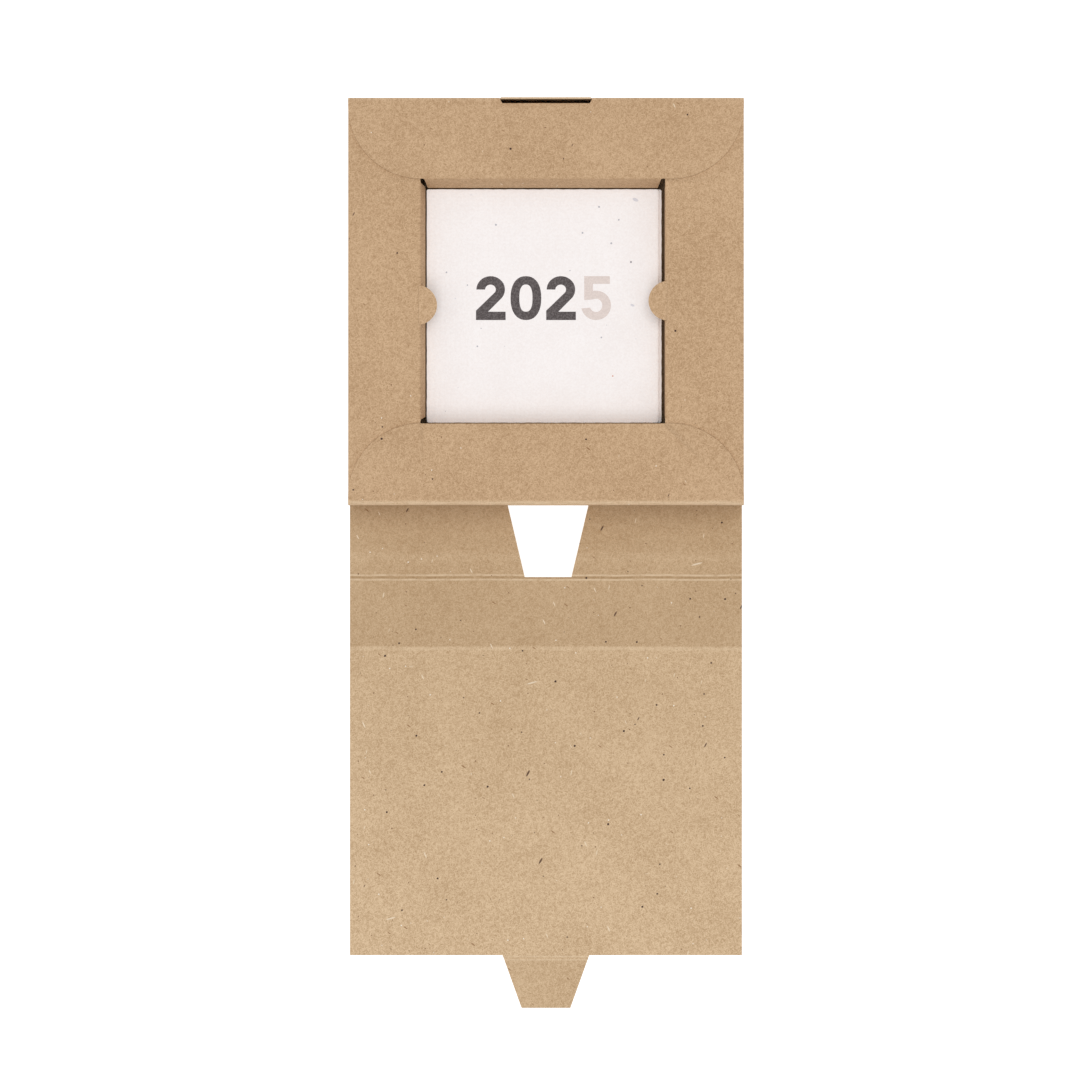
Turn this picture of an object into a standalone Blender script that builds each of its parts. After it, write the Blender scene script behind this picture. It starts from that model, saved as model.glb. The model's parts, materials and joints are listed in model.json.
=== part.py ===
"""Flip desk calendar: a board tray with a window, a wrap-around cover and a stack of loose cards.

It lies open on its back. X runs along the hinge, Y runs from the cover's tab to the head of the
box, and Z points out of the window. The origin is under the centre of the open calendar.
Driving dimensions are in millimetres. Distances called "along" are measured from the cover's
hinge, up the box where they are positive and down the open cover where they are named "cover".
"""

import math

import bmesh
import bpy
from mathutils import Matrix, Vector

MM = 0.001

# Board and box
BOARD = 0.45
GLUE_GAP = 0.10
BOX_WIDTH = 110.0
BOX_HEIGHT = 113.2
BOX_DEPTH = 14.5
FLAP_CORNER_RADIUS = 20.4
CORNER_STEPS = 24
WALL_END_GAP = 0.15

# Window, from the box's centre line and the hinge
WINDOW_LEFT = -34.9
WINDOW_RIGHT = 33.1
WINDOW_LOW = 22.7
WINDOW_HIGH = 90.7
INNER_FLAP_TAPER = 2.0
INNER_FLAP_INSET = 1.0
CARD_SIDE_GAP = 0.25

# Round retaining tabs in the window's sides
TAB_RADIUS = 5.5
TAB_REACH = 4.6
TAB_STEPS = 24
TAB_ROOT_GAP = 0.15
TAB_CUT_CLEARANCE = 0.25
LEFT_TAB_ALONG = 55.6
RIGHT_TAB_ALONG = 56.8

# Cards
CARD_WIDTH = 65.0
CARD_LENGTH = 65.4
CARD_THICKNESS = 0.5
CARD_PITCH = 0.55
CARD_LEFT = -33.4
CARD_LOW = 22.9
MONTH_CARDS = 12
CARD_CORNER_RADIUS = 0.6
CARD_DRIFT = 0.8

# Cover, measured down the open cover from the hinge
SPINE_BEND = 14.3
CREASE_1 = 20.1
CREASE_2 = 39.8
COVER_END = 126.2
TAB_CREASE = 126.7
TAB_TIP = 141.0
TAB_BASE_WIDTH = 24.3
TAB_TIP_WIDTH = 13.7
TAB_TIP_RADIUS = 2.2
HINGE_OFFSET = 0.15
HINGE_CLEARANCE = 0.60
CREASE_CLEARANCE = 0.10
TAB_CLEARANCE = 0.20
OPENING_CENTRE = 0.6
OPENING_AT_HINGE = 22.6
OPENING_AT_CREASE = 13.1

# Notch in the top flap, and the lip of the top wall behind it
NOTCH_WIDTH_AT_FOLD = 26.0
NOTCH_WIDTH_INSIDE = 24.3
NOTCH_DEPTH = 1.55
LIP_WIDTH = 25.2
LIP_HEIGHT = 1.5

# Stand: how far each crease folds back, and the slot in the back that takes the tab
STAND_HINGE = 90.0
STAND_CREASE_1 = 60.0
STAND_CREASE_2 = 49.5
STAND_TAB = 40.0
SLOT_CLEARANCE = 0.2
SLOT_WIDTH = 25.8

HALF_WIDTH = BOX_WIDTH / 2
HINGE_Y = (TAB_TIP - BOX_HEIGHT) / 2
BACK_TOP = 2 * BOARD + GLUE_GAP
WALL_LOW = BACK_TOP + GLUE_GAP
FLAP_LOW = BOX_DEPTH - BOARD
WALL_TOP = FLAP_LOW - GLUE_GAP
STRIP_LOW = WALL_TOP - BOARD
INNER_TOP = STRIP_LOW - GLUE_GAP
CARD_BASE = BACK_TOP + GLUE_GAP
CARD_TOP = CARD_BASE + MONTH_CARDS * CARD_PITCH + CARD_THICKNESS

TRAY_BOARD = {"name": "tray_board", "colour": (192, 160, 125), "roughness": 0.86}
COVER_BOARD = {"name": "cover_board", "colour": (199, 171, 136), "roughness": 0.88}
CARD_PAPER = {"name": "card_paper", "colour": (244, 238, 236), "roughness": 0.92}


def clear_scene():
    for old in list(bpy.data.objects):
        bpy.data.objects.remove(old, do_unlink=True)


def linear(channel):
    """A 0 to 255 display channel as the linear value that Blender's colours hold."""
    value = channel / 255
    return value / 12.92 if value <= 0.04045 else ((value + 0.055) / 1.055) ** 2.4


def finish(spec):
    """The named finish, made the first time that it is asked for."""
    found = bpy.data.materials.get(spec["name"])
    if found:
        return found
    made = bpy.data.materials.new(spec["name"])
    made.use_nodes = True
    shader = made.node_tree.nodes["Principled BSDF"]
    shader.inputs["Base Color"].default_value = (*map(linear, spec["colour"]), 1.0)
    shader.inputs["Roughness"].default_value = spec["roughness"]
    shader.inputs["Metallic"].default_value = 0.0
    return made


def pivot(name, y, z, x=0.0, parent=None):
    """An empty on a joint's axis, which carries the pieces that turn about it."""
    empty = bpy.data.objects.new(name, None)
    empty.empty_display_size = 5 * MM
    bpy.context.collection.objects.link(empty)
    place = Vector((x, y, z)) * MM
    empty.parent = parent
    empty.location = place - world_place(parent)
    return empty


def world_place(empty):
    """Where an unturned empty stands: the sum of the offsets of its parents and its own."""
    place = Vector((0, 0, 0))
    while empty:
        place += empty.location
        empty = empty.parent
    return place


def add(name, mesh_builder, spec, parent=None):
    """Turns a bmesh in millimetres and world axes into a named object under its pivot."""
    mesh_builder.normal_update()
    bmesh.ops.recalc_face_normals(mesh_builder, faces=mesh_builder.faces)
    mesh = bpy.data.meshes.new(name)
    mesh_builder.to_mesh(mesh)
    mesh_builder.free()
    mesh.transform(Matrix.Translation(-world_place(parent)) @ Matrix.Scale(MM, 4))
    mesh.materials.append(finish(spec))
    made = bpy.data.objects.new(name, mesh)
    made.parent = parent
    bpy.context.collection.objects.link(made)
    return made


def extruded(points, offset):
    """A bmesh prism: the polygon through the points, pulled along the offset."""
    builder = bmesh.new()
    face = builder.faces.new([builder.verts.new(point) for point in points])
    pulled = bmesh.ops.extrude_face_region(builder, geom=[face])
    moved = [item for item in pulled["geom"] if isinstance(item, bmesh.types.BMVert)]
    bmesh.ops.translate(builder, verts=moved, vec=Vector(offset))
    return builder


def sheet(name, outline, low, spec, parent=None, thickness=BOARD):
    """A flat board with the outline (x, y), lying with its underside at the height low."""
    points = [(x, y, low) for x, y in outline]
    return add(name, extruded(points, (0, 0, thickness)), spec, parent)


def arc(centre, radius, start, end, steps):
    """Points on an arc, from the angle start to the angle end in degrees."""
    angles = (math.radians(start + (end - start) * i / steps) for i in range(steps + 1))
    return [(centre[0] + radius * math.cos(a), centre[1] + radius * math.sin(a)) for a in angles]


def rounded_box(left, low, width, length, radius, steps=4):
    """The outline of a rectangle whose four corners are arcs."""
    right, high = left + width, low + length
    corners = (
        ((right - radius, low + radius), -90),
        ((right - radius, high - radius), 0),
        ((left + radius, high - radius), 90),
        ((left + radius, low + radius), 180),
    )
    return [point for centre, a in corners for point in arc(centre, radius, a, a + 90, steps)]


def box(low, high):
    """A bmesh box between two corners."""
    (x0, y0, z0), (x1, y1, z1) = low, high
    points = [(x0, y0, z0), (x1, y0, z0), (x1, y1, z0), (x0, y1, z0)]
    return extruded(points, (0, 0, z1 - z0))


def cut(target, cutter):
    """Subtracts the cutter, which stays in the scene as a hidden guide."""
    cutter.hide_render = True
    cutter.display_type = "WIRE"
    boolean = target.modifiers.new("cut", "BOOLEAN")
    boolean.operation = "DIFFERENCE"
    boolean.solver = "EXACT"
    boolean.object = cutter


def along(distance):
    """World Y of a point this far up the box from the hinge."""
    return HINGE_Y + distance


def down(distance):
    """World Y of a point this far down the open cover from the hinge."""
    return HINGE_Y - distance


# ---------------------------------------------------------------- stand geometry


def stand_chain():
    """Where the tab crosses the box's back when the cover is folded into the stand.

    Each crease is followed in turn: its axis, then the turn that it adds. The first pair is the
    hinge. The result is the tab's axis as (distance up the box, height) and its total turn.
    """
    creases = (
        (HINGE_OFFSET, BOARD, STAND_HINGE),
        (CREASE_1, 0.0, STAND_CREASE_1),
        (CREASE_2, 0.0, STAND_CREASE_2),
        (TAB_CREASE, BOARD, STAND_TAB),
    )
    at, height, turn = -HINGE_OFFSET, BOARD, math.radians(STAND_HINGE)
    for (here, level, _), (there, next_level, folded) in zip(creases, creases[1:]):
        run, rise = there - here, next_level - level
        at += -run * math.cos(turn) - rise * math.sin(turn)
        height += -run * math.sin(turn) + rise * math.cos(turn)
        turn += math.radians(folded)
    return at, height, turn


def stand_slot():
    """The slot's span (low, high) up the box, wide enough for the slanted tab in both back boards."""
    at, height, turn = stand_chain()
    slope = math.cos(turn) / math.sin(turn)
    across = BOARD / abs(math.sin(turn))
    faces = [at + (level - height) * slope for level in (0.0, BACK_TOP)]
    return min(faces) - across - SLOT_CLEARANCE, max(faces) + SLOT_CLEARANCE


# ---------------------------------------------------------------- the cover


def opening_side(distance, side):
    """X of the trapezoid opening's edge, this far down the cover. Side is -1 left, 1 right."""
    share = distance / CREASE_1
    width = OPENING_AT_HINGE + (OPENING_AT_CREASE - OPENING_AT_HINGE) * share
    return OPENING_CENTRE + side * width / 2


def cover_leg(name, start, end, side, parent):
    """One of the two legs beside the opening, between two distances down the cover."""
    edge = side * HALF_WIDTH
    outline = [
        (edge, down(start)),
        (opening_side(start, side), down(start)),
        (opening_side(end, side), down(end)),
        (edge, down(end)),
    ]
    return sheet(name, outline, 0.0, COVER_BOARD, parent)


def cover_panel(name, start, end, parent):
    outline = [
        (-HALF_WIDTH, down(end)),
        (HALF_WIDTH, down(end)),
        (HALF_WIDTH, down(start)),
        (-HALF_WIDTH, down(start)),
    ]
    return sheet(name, outline, 0.0, COVER_BOARD, parent)


def tab_half_width(distance):
    share = (distance - COVER_END) / (TAB_TIP - COVER_END)
    return (TAB_BASE_WIDTH + (TAB_TIP_WIDTH - TAB_BASE_WIDTH) * share) / 2


def main_panel(parent):
    """The large panel. A short neck at its end carries the closing tab's crease."""
    start, end = CREASE_2 + CREASE_CLEARANCE, TAB_CREASE - TAB_CLEARANCE
    neck = TAB_BASE_WIDTH / 2
    outline = [
        (-HALF_WIDTH, down(start)),
        (-HALF_WIDTH, down(COVER_END)),
        (-neck, down(COVER_END)),
        (-neck, down(end)),
        (neck, down(end)),
        (neck, down(COVER_END)),
        (HALF_WIDTH, down(COVER_END)),
        (HALF_WIDTH, down(start)),
    ]
    return sheet("cover_main_panel", outline, 0.0, COVER_BOARD, parent)


def closing_tab(parent):
    """A tapered tongue with rounded tip corners."""
    start = TAB_CREASE + TAB_CLEARANCE
    base, tip = tab_half_width(start), tab_half_width(TAB_TIP)
    slant = math.degrees(math.atan2(base - tip, TAB_TIP - start))
    radius = TAB_TIP_RADIUS
    inset = radius * math.tan(math.radians((90 - slant) / 2))
    right = (tip - inset, down(TAB_TIP) + radius)
    left = (-right[0], right[1])
    outline = [(base, down(start)), (-base, down(start))]
    outline += arc(left, radius, 180 + slant, 270, 6)
    outline += arc(right, radius, 270, 360 - slant, 6)
    return sheet("closing_tab", outline, 0.0, COVER_BOARD, parent)


def back_board(name, low_edge, level, spec, slot):
    """One of the two back boards glued face to face, with the stand's slot through it."""
    outline = [
        (-HALF_WIDTH, along(low_edge)),
        (HALF_WIDTH, along(low_edge)),
        (HALF_WIDTH, along(BOX_HEIGHT)),
        (-HALF_WIDTH, along(BOX_HEIGHT)),
    ]
    cut(sheet(name, outline, level, spec), slot)


def stand_slot_cutter():
    low, high = stand_slot()
    blank = box(
        (-SLOT_WIDTH / 2, along(low), -BOARD),
        (SLOT_WIDTH / 2, along(high), BACK_TOP + BOARD),
    )
    return add("stand_slot_cutter", blank, COVER_BOARD)


def build_cover(slot):
    back_board("cover_back_panel", GLUE_GAP, 0.0, COVER_BOARD, slot)
    hinge = pivot("cover_hinge_axis", down(HINGE_OFFSET), BOARD)
    bend = pivot("spine_bend_axis", down(SPINE_BEND), BOARD, parent=hinge)
    crease_1 = pivot("crease_1_axis", down(CREASE_1), 0.0, parent=bend)
    crease_2 = pivot("crease_2_axis", down(CREASE_2), 0.0, parent=crease_1)
    fold = pivot("tab_fold_axis", down(TAB_CREASE), BOARD, parent=crease_2)
    for word, side in (("left", -1), ("right", 1)):
        spine = (HINGE_OFFSET + HINGE_CLEARANCE, SPINE_BEND - CREASE_CLEARANCE)
        band = (SPINE_BEND + CREASE_CLEARANCE, CREASE_1 - CREASE_CLEARANCE)
        cover_leg(f"cover_spine_{word}", *spine, side, hinge)
        cover_leg(f"cover_band_{word}", *band, side, bend)
    foot = (CREASE_1 + CREASE_CLEARANCE, CREASE_2 - CREASE_CLEARANCE)
    cover_panel("cover_foot_panel", *foot, crease_1)
    main_panel(crease_2)
    closing_tab(fold)


# ---------------------------------------------------------------- the tray


def wall(name, outline, y, thickness=BOARD):
    """An upright board across X with the outline (x, z), from y towards +Y."""
    points = [(x, y, z) for x, z in outline]
    return add(name, extruded(points, (0, thickness, 0)), TRAY_BOARD)


def build_walls():
    lip = LIP_WIDTH / 2
    head = [
        (-HALF_WIDTH, WALL_LOW),
        (HALF_WIDTH, WALL_LOW),
        (HALF_WIDTH, WALL_TOP),
        (lip, WALL_TOP),
        (lip, BOX_DEPTH + LIP_HEIGHT),
        (-lip, BOX_DEPTH + LIP_HEIGHT),
        (-lip, WALL_TOP),
        (-HALF_WIDTH, WALL_TOP),
    ]
    wall("top_wall", head, along(BOX_HEIGHT - BOARD))
    foot = head[:3] + head[-1:]
    wall("bottom_wall", foot, along(0))
    inner = BOARD + WALL_END_GAP
    for word, x in (("left", -HALF_WIDTH), ("right", HALF_WIDTH - BOARD)):
        low = (x, along(inner), WALL_LOW)
        high = (x + BOARD, along(BOX_HEIGHT - inner), INNER_TOP)
        add(f"{word}_wall", box(low, high), TRAY_BOARD)


def side_strip(name, outer, window_edge):
    """The strip beside the window, under both cross flaps."""
    inner = BOARD + WALL_END_GAP
    left, right = sorted((outer, window_edge))
    outline = [
        (left, along(inner)),
        (right, along(inner)),
        (right, along(BOX_HEIGHT - inner)),
        (left, along(BOX_HEIGHT - inner)),
    ]
    return sheet(name, outline, STRIP_LOW, TRAY_BOARD)


def build_flaps():
    """The cross flaps. Their window-side corners are quarter circles that end on the box's sides."""
    radius = FLAP_CORNER_RADIUS
    left, right = -HALF_WIDTH + radius, HALF_WIDTH - radius
    high, low = WINDOW_HIGH + radius, WINDOW_LOW - radius
    notch, inside = NOTCH_WIDTH_AT_FOLD / 2, NOTCH_WIDTH_INSIDE / 2
    head = arc((left, along(high)), radius, 180, 270, CORNER_STEPS)
    head += arc((right, along(high)), radius, 270, 360, CORNER_STEPS)
    head += [
        (HALF_WIDTH, along(BOX_HEIGHT)),
        (notch, along(BOX_HEIGHT)),
        (inside, along(BOX_HEIGHT - NOTCH_DEPTH)),
        (-inside, along(BOX_HEIGHT - NOTCH_DEPTH)),
        (-notch, along(BOX_HEIGHT)),
        (-HALF_WIDTH, along(BOX_HEIGHT)),
    ]
    sheet("top_flap", head, FLAP_LOW, TRAY_BOARD)
    foot = [(-HALF_WIDTH, along(0)), (HALF_WIDTH, along(0))]
    foot += arc((right, along(low)), radius, 0, 90, CORNER_STEPS)
    foot += arc((left, along(low)), radius, 90, 180, CORNER_STEPS)
    sheet("bottom_flap", foot, FLAP_LOW, TRAY_BOARD)


def inner_flap(name, edge, lean, direction, ends):
    """A flap folded down from a window edge, one wall of the card well.

    The direction is the unit vector (x, y) from the edge into the window. The flap leans in by
    lean down to the card stack's top and then runs straight down beside the stack. Its ends, two
    distances along the edge, taper towards its free end.
    """
    into = Vector((*direction, 0))
    run = Vector((direction[1], direction[0], 0))
    profile = [(0.0, INNER_TOP), (lean, CARD_TOP + 4 * GLUE_GAP), (lean, WALL_LOW)]
    profile += [(reach - BOARD, level) for reach, level in reversed(profile)]
    depth = INNER_TOP - WALL_LOW

    def section(end, inward):
        """The flap's cross-section at one of its ends."""
        return [
            edge + into * reach + run * (end + inward * INNER_FLAP_TAPER * (INNER_TOP - level) / depth)
            + Vector((0, 0, level))
            for reach, level in profile
        ]

    builder = bmesh.new()
    rings = [[builder.verts.new(point) for point in section(*at)] for at in zip(ends, (1, -1))]
    loops = []
    for ring in rings:
        pairs = zip(ring, ring[1:] + ring[:1])
        loops.append([builder.edges.new(pair) for pair in pairs])
    bmesh.ops.bridge_loops(builder, edges=loops[0] + loops[1])
    for ring in rings:
        builder.faces.new(ring)
    return add(name, builder, TRAY_BOARD)


def build_inner_flaps(tab_blanks):
    """The card well's four walls. The head and left ones lean in until they meet the stack."""
    head_lean = WINDOW_HIGH - (CARD_LOW + CARD_LENGTH) - CARD_SIDE_GAP
    left_lean = CARD_LEFT - CARD_SIDE_GAP - WINDOW_LEFT
    left, right = WINDOW_LEFT + INNER_FLAP_INSET, WINDOW_RIGHT - INNER_FLAP_INSET
    low, high = WINDOW_LOW + INNER_FLAP_INSET, WINDOW_HIGH - INNER_FLAP_INSET
    walls = (
        ("top", (0, along(WINDOW_HIGH)), head_lean, (0, -1), (-right, -left)),
        ("bottom", (0, along(WINDOW_LOW)), 0.0, (0, 1), (left, right)),
        ("left", (WINDOW_LEFT, along(0)), left_lean, (1, 0), (low, high)),
        ("right", (WINDOW_RIGHT, along(0)), 0.0, (-1, 0), (-high, -low)),
    )
    for word, edge, lean, direction, ends in walls:
        flap = inner_flap(f"{word}_inner_flap", Vector((*edge, 0)), lean, direction, ends)
        if word in tab_blanks:
            cut(flap, tab_blanks[word])


def retaining_tab(name, window_edge, distance, side):
    """A round tongue in the strip's plane. It hinges on the window edge, and side points inwards."""
    centre = TAB_REACH - TAB_RADIUS
    root = math.degrees(math.acos((TAB_ROOT_GAP - centre) / TAB_RADIUS))
    curve = arc((centre, 0), TAB_RADIUS, -root, root, TAB_STEPS)
    outline = [(window_edge + side * x, along(distance) + y) for x, y in curve]
    axis = pivot(f"{name}_axis", along(distance), WALL_TOP, x=window_edge)
    return sheet(name, outline, STRIP_LOW, TRAY_BOARD, axis)


def tab_cutter(name, window_edge, distance, side):
    """The tongue's own blank, missing from the flap that it was cut out of."""
    radius = TAB_RADIUS + TAB_CUT_CLEARANCE
    level = INNER_TOP + TAB_RADIUS - TAB_REACH
    outline = arc((along(distance), level), radius, 0, 360, 2 * TAB_STEPS)[:-1]
    points = [(window_edge - 2 * side, y, z) for y, z in outline]
    return add(name, extruded(points, (6 * side, 0, 0)), TRAY_BOARD)


def build_tray(slot):
    back_board("tray_back_panel", 0.0, BOARD + GLUE_GAP, TRAY_BOARD, slot)
    build_walls()
    build_flaps()
    side_strip("left_strip", -HALF_WIDTH, WINDOW_LEFT)
    side_strip("right_strip", HALF_WIDTH, WINDOW_RIGHT)
    tab_blanks = {}
    tabs = (
        ("left", WINDOW_LEFT, LEFT_TAB_ALONG, 1),
        ("right", WINDOW_RIGHT, RIGHT_TAB_ALONG, -1),
    )
    for word, edge, distance, side in tabs:
        retaining_tab(f"{word}_retaining_tab", edge, distance, side)
        tab_blanks[word] = tab_cutter(f"{word}_tab_cutter", edge, distance, side)
    build_inner_flaps(tab_blanks)


# ---------------------------------------------------------------- the cards


def card(name, level, drift, parent=None):
    outline = rounded_box(CARD_LEFT + drift, along(CARD_LOW), CARD_WIDTH, CARD_LENGTH, CARD_CORNER_RADIUS)
    return sheet(name, outline, level, CARD_PAPER, parent, CARD_THICKNESS)


def build_cards():
    """Twelve month cards, each a little out of line with the next, and the year's card on top."""
    for index in range(MONTH_CARDS):
        drift = CARD_DRIFT * (0.5 + 0.5 * math.sin(2.4 * index))
        number = MONTH_CARDS - index
        card(f"month_card_{number:02d}", CARD_BASE + index * CARD_PITCH, drift)
    top = CARD_BASE + MONTH_CARDS * CARD_PITCH
    slide = pivot("top_card_slide", along(CARD_LOW + CARD_LENGTH / 2), top)
    card("cover_card", top, 0.0, slide)


def main():
    clear_scene()
    slot = stand_slot_cutter()
    build_cover(slot)
    build_tray(slot)
    build_cards()
    bpy.context.view_layer.update()


main()
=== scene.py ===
# %% [markdown]
# # A folded kraft desk calendar
# The calendar is two sheets of thin kraft board and a stack of thick paper cards. One sheet is folded
# into a shallow tray with a window frame, the other is a cover that wraps around it. The imported model
# gives the places and the joints, so it is loaded before anything is made.

# %% The frame
import json
import math

import bpy
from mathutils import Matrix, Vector


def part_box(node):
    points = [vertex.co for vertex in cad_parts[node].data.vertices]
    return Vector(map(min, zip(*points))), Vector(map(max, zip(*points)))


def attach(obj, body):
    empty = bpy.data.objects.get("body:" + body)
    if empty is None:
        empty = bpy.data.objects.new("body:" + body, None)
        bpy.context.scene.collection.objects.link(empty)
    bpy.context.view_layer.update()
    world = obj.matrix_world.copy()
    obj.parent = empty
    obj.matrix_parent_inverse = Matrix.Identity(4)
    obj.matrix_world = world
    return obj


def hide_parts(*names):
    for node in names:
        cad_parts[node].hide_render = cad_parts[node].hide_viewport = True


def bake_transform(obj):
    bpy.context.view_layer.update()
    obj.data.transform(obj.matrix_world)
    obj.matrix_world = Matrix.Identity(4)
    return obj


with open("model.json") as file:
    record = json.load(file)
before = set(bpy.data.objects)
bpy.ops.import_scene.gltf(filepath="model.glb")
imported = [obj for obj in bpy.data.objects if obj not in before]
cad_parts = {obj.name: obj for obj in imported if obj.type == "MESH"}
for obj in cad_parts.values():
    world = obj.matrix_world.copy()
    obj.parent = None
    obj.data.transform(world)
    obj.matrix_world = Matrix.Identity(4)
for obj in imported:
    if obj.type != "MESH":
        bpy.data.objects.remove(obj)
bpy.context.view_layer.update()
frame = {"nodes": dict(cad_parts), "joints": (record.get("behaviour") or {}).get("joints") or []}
MM = 0.001
print("pieces in the frame:", len(frame["nodes"]))

# %% [markdown]
# Every measure below is read from the frame where the frame has it. The rest are the sizes that a
# die maker would write on the drawing: the radius that a crease takes, and how fine the rows of
# the mesh have to be where the board bends.

# %% Measures
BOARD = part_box("cover_main_panel")[1].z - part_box("cover_main_panel")[0].z
BOX_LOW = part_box("tray_back_panel")[0]
BOX_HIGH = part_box("top_flap")[1]
STRIP_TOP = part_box("left_strip")[1].z
WALL_FOOT = BOX_LOW.z
CARD_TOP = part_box("cover_card")[1].z
FLAP_CORNER = 20.4 * MM
CROSS_FOLD_ROUND, SIDE_FOLD_ROUND, WINDOW_ROUND = 0.7 * MM, 0.6 * MM, 0.45 * MM
WELL_BEND = CARD_TOP + 0.4 * MM
WELL_TAPER, WELL_TAPER_AT_BEND = 2.0 * MM, 0.9 * MM
SLACK = 0.01 * MM
JOINTS = {joint["name"]: joint for joint in frame["joints"]}


def crease_y(joint):
    """Y of the line that a joint of the cover turns about."""
    return JOINTS[joint]["pos_m"][1]


HINGE_Y = crease_y("cover_hinge")
print("board", round(BOARD / MM, 2), "mm thick, hinge at y", round(HINGE_Y / MM, 2), "mm")

# %% [markdown]
# The camera hangs straight above the open calendar, far away, with a long lens, so the tray's
# walls hardly show. It is made first because everything else is judged through it.

# %% Camera
CAMERA_DISTANCE = 1.386
FRAME_WIDTH = 0.300
camera_data = bpy.data.cameras.new("overhead")
camera_data.sensor_width = 36.0
camera_data.lens = camera_data.sensor_width * CAMERA_DISTANCE / FRAME_WIDTH
camera_data.clip_end = 20.0
camera = bpy.data.objects.new("overhead", camera_data)
camera.location = (-1.67 * MM, HINGE_Y - 9.55 * MM, BOX_HIGH.z + CAMERA_DISTANCE)
bpy.context.scene.collection.objects.link(camera)
bpy.context.scene.camera = camera

# %% [markdown]
# ## Shader maths in Python
# A pattern on board is a sum of noises. Written as nodes by hand that is a page of links, so one
# small class wraps a socket and lets Python's own signs add the Math nodes. A second class is the
# bench that the nodes are made on.


# %% A socket that can be added and multiplied
class Wire:
    """An output socket that Python's arithmetic works on."""

    def __init__(self, bench, socket):
        self.bench, self.socket = bench, socket

    def math(self, operation, *values):
        return self.bench.node("ShaderNodeMath", {"operation": operation}, values)

    def __add__(self, other):
        return self.math("ADD", self, other)

    def __mul__(self, other):
        return self.math("MULTIPLY", self, other)

    def __sub__(self, other):
        return self.math("SUBTRACT", self, other)

    def __rsub__(self, other):
        return self.math("SUBTRACT", other, self)

    __radd__, __rmul__ = __add__, __mul__

    def above(self, low, high):
        """0 below low, 1 above high, and smooth between them."""
        settings = {"interpolation_type": "SMOOTHSTEP"}
        return self.bench.node("ShaderNodeMapRange", settings, {"Value": self, 1: low, 2: high})

    def below(self, low, high):
        return 1 - self.above(low, high)


class Bench:
    """One material's nodes, made and linked by name."""

    def __init__(self, name):
        self.material = bpy.data.materials.new(name)
        self.material.use_nodes = True
        self.tree = self.material.node_tree
        self.shader = self.tree.nodes["Principled BSDF"]

    def node(self, kind, settings=None, values=(), out=0):
        """A node with its settings, then its sockets' values or links. Returns one output."""
        made = self.tree.nodes.new(kind)
        for key, value in (settings or {}).items():
            setattr(made, key, value)
        pairs = values.items() if isinstance(values, dict) else enumerate(values)
        for key, value in pairs:
            self.feed(made.inputs[key], value)
        return Wire(self, made.outputs[out])

    def feed(self, socket, value):
        if isinstance(value, Wire):
            self.tree.links.new(value.socket, socket)
        elif value is not None:
            socket.default_value = value

    def mix(self, share, first, second):
        """Colour first where share is 0 and second where it is 1."""
        settings = {"data_type": "RGBA"}
        return self.node("ShaderNodeMix", settings, {0: share, 6: first, 7: second}, out=2)

    def noise(self, place, scale, detail=2.0, rough=0.5):
        values = {"Vector": place, "Scale": scale, "Detail": detail, "Roughness": rough}
        return self.node("ShaderNodeTexNoise", None, values)

    def done(self, colour, roughness, bumps):
        """Links the finish. Each bump is a height and how deep it is in metres."""
        self.feed(self.shader.inputs["Base Color"], colour)
        self.feed(self.shader.inputs["Roughness"], roughness)
        self.shader.inputs["Specular IOR Level"].default_value = 0.25
        normal = None
        for height, depth in bumps:
            values = {"Strength": 1.0, "Distance": depth, "Height": height}
            if normal:
                values["Normal"] = normal
            normal = self.node("ShaderNodeBump", None, values)
        self.feed(self.shader.inputs["Normal"], normal)
        return self.material


def linear(red, green, blue):
    """A display colour from 0 to 255 as the linear colour that sockets hold."""
    shares = (channel / 255 for channel in (red, green, blue))
    return (*(s / 12.92 if s <= 0.04045 else ((s + 0.055) / 1.055) ** 2.4 for s in shares), 1.0)


# %% [markdown]
# ## Kraft board
# Unbleached board is a felt of brown fibres. From close by it has four layers: a cloudy tone a few
# centimetres wide from how the pulp settled, a grain about as wide as the board is thick, short
# threads lying every way, and scattered specks of bark and recycled print. The outer face of the
# sheet is pressed smoother and has few specks. The inner face has more of everything.
# Two attributes hold where each point lies when the calendar is open, so that the pattern stays on the
# board when a crease bends the mesh: place is the point itself, for the painted shade and painted
# highlights at the folds and creases, and sheet is the point with its wall laid flat, for the grain.

# %% Kraft finishes


def on_sheet(bench):
    """The point's place while the calendar lies open, and the same point on the sheet laid flat."""
    place = bench.node("ShaderNodeAttribute", {"attribute_name": "place"}, out="Vector")
    parts = [bench.node("ShaderNodeSeparateXYZ", None, [place], out=i) for i in range(3)]
    return parts, bench.node("ShaderNodeAttribute", {"attribute_name": "sheet"}, out="Vector")


def flecks(bench, flat, turn, cells, share, size, narrow=1.0):
    """Scattered flecks: one in each cell of a Voronoi pattern, of which only a share is kept.

    Cells is how many there are to a metre, size is in cells, and narrow below 1 draws them out.
    """
    turned = bench.node("ShaderNodeMapping", None, {"Vector": flat, "Rotation": (0, 0, turn)})
    drawn = bench.node(
        "ShaderNodeMapping", None, {"Vector": turned, "Scale": (cells, cells * narrow, cells)}
    )
    flat_cells = {"voronoi_dimensions": "2D"}
    values = {"Vector": drawn, "Scale": 1.0}
    distance = bench.node("ShaderNodeTexVoronoi", flat_cells, values, out="Distance")
    lot = bench.node("ShaderNodeTexVoronoi", flat_cells, values, out="Color")
    pick = bench.node("ShaderNodeSeparateColor", None, [lot], out=0)
    grow = bench.node("ShaderNodeSeparateColor", None, [lot], out=1)
    reach = (grow * 0.9 + 0.4) * size
    return pick.above(1 - share - 0.001, 1 - share) * (reach - distance).above(0.0, size * 0.45)


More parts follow.
